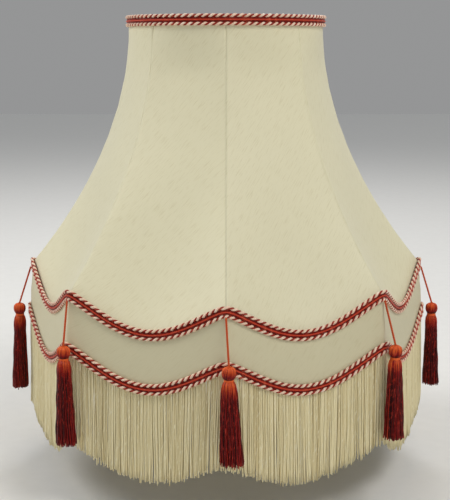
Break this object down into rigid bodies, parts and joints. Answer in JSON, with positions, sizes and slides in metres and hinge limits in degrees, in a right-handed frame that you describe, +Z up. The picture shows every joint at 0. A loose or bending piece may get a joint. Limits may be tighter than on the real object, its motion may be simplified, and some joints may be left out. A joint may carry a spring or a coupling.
{
  "type": "lamp shade",
  "caption": "Bell-shaped cream fabric lamp shade on a wire frame, with a scalloped collar, red and cream braid, hanging fringe, string-hung tassels and a tilting fitter ring.",
  "frame": {"origin": "centre of the fitter ring's flat underside, where the shade sits on its lamp", "axes": "+Z up along the shade's axis, towards the narrow top; -Y towards the rib at the front; X along the line the shade tilts about"},
  "size_m": [0.512, 0.5101, 0.4693],
  "materials": {
    "cover_fabric": "silky slubbed weave",
    "lining_fabric": "plain matt weave",
    "fringe_yarn": "cut silky yarn",
    "braid_cord": "twisted silky cord, red and cream",
    "tassel_yarn": "silky yarn",
    "frame_wire": "white paint over steel wire",
    "fitter_brass": "satin"
  },
  "bodies": {
    "fitter": {"fitter_ring": "fitter_brass"},
    "shade": {"pivot_rivet_1": "fitter_brass", "pivot_rivet_2": "fitter_brass", "carrier_hoop": "frame_wire", "spider_arm_1": "frame_wire", "spider_arm_2": "frame_wire", "spider_arm_3": "frame_wire", "spider_arm_4": "frame_wire", "top_ring": "frame_wire", "rib_1": "frame_wire", "rib_2": "frame_wire", "rib_3": "frame_wire", "rib_4": "frame_wire", "rib_5": "frame_wire", "rib_6": "frame_wire", "rib_7": "frame_wire", "rib_8": "frame_wire", "upper_scallop_wire": "frame_wire", "lower_scallop_wire": "frame_wire", "panel_1": "cover_fabric", "panel_2": "cover_fabric", "panel_3": "cover_fabric", "panel_4": "cover_fabric", "panel_5": "cover_fabric", "panel_6": "cover_fabric", "panel_7": "cover_fabric", "panel_8": "cover_fabric", "collar": "cover_fabric", "lining": "lining_fabric", "fringe": "fringe_yarn", "top_braid": "braid_cord", "upper_braid": "braid_cord", "lower_braid": "braid_cord"},
    "tassel_1": {"tassel_cord_1": "tassel_yarn", "tassel_head_1": "tassel_yarn", "tassel_skirt_1": "tassel_yarn"},
    "tassel_2": {"tassel_cord_2": "tassel_yarn", "tassel_head_2": "tassel_yarn", "tassel_skirt_2": "tassel_yarn"},
    "tassel_3": {"tassel_cord_3": "tassel_yarn", "tassel_head_3": "tassel_yarn", "tassel_skirt_3": "tassel_yarn"},
    "tassel_4": {"tassel_cord_4": "tassel_yarn", "tassel_head_4": "tassel_yarn", "tassel_skirt_4": "tassel_yarn"},
    "tassel_5": {"tassel_cord_5": "tassel_yarn", "tassel_head_5": "tassel_yarn", "tassel_skirt_5": "tassel_yarn"},
    "tassel_6": {"tassel_cord_6": "tassel_yarn", "tassel_head_6": "tassel_yarn", "tassel_skirt_6": "tassel_yarn"},
    "tassel_7": {"tassel_cord_7": "tassel_yarn", "tassel_head_7": "tassel_yarn", "tassel_skirt_7": "tassel_yarn"},
    "tassel_8": {"tassel_cord_8": "tassel_yarn", "tassel_head_8": "tassel_yarn", "tassel_skirt_8": "tassel_yarn"}
  },
  "joints": [
    {"name": "shade_tilt", "type": "hinge", "parent": "fitter", "child": "shade", "pos_m": [0, 0, 0.005], "axis": [1, 0, 0], "range_deg": [-20, 20]},
    {"name": "tassel_swing_1", "type": "hinge", "parent": "shade", "child": "tassel_1", "pos_m": [0, -0.2302, -0.2524], "axis": [-1, 0, 0], "range_deg": [0, 60]},
    {"name": "tassel_swing_2", "type": "hinge", "parent": "shade", "child": "tassel_2", "pos_m": [0.16278, -0.16278, -0.2524], "axis": [-0.7071, -0.7071, 0], "range_deg": [0, 60]},
    {"name": "tassel_swing_3", "type": "hinge", "parent": "shade", "child": "tassel_3", "pos_m": [0.2302, 0, -0.2524], "axis": [0, -1, 0], "range_deg": [0, 60]},
    {"name": "tassel_swing_4", "type": "hinge", "parent": "shade", "child": "tassel_4", "pos_m": [0.16278, 0.16278, -0.2524], "axis": [0.7071, -0.7071, 0], "range_deg": [0, 60]},
    {"name": "tassel_swing_5", "type": "hinge", "parent": "shade", "child": "tassel_5", "pos_m": [0, 0.2302, -0.2524], "axis": [1, 0, 0], "range_deg": [0, 60]},
    {"name": "tassel_swing_6", "type": "hinge", "parent": "shade", "child": "tassel_6", "pos_m": [-0.16278, 0.16278, -0.2524], "axis": [0.7071, 0.7071, 0], "range_deg": [0, 60]},
    {"name": "tassel_swing_7", "type": "hinge", "parent": "shade", "child": "tassel_7", "pos_m": [-0.2302, 0, -0.2524], "axis": [0, 1, 0], "range_deg": [0, 60]},
    {"name": "tassel_swing_8", "type": "hinge", "parent": "shade", "child": "tassel_8", "pos_m": [-0.16278, -0.16278, -0.2524], "axis": [-0.7071, 0.7071, 0], "range_deg": [0, 60]}
  ]
}
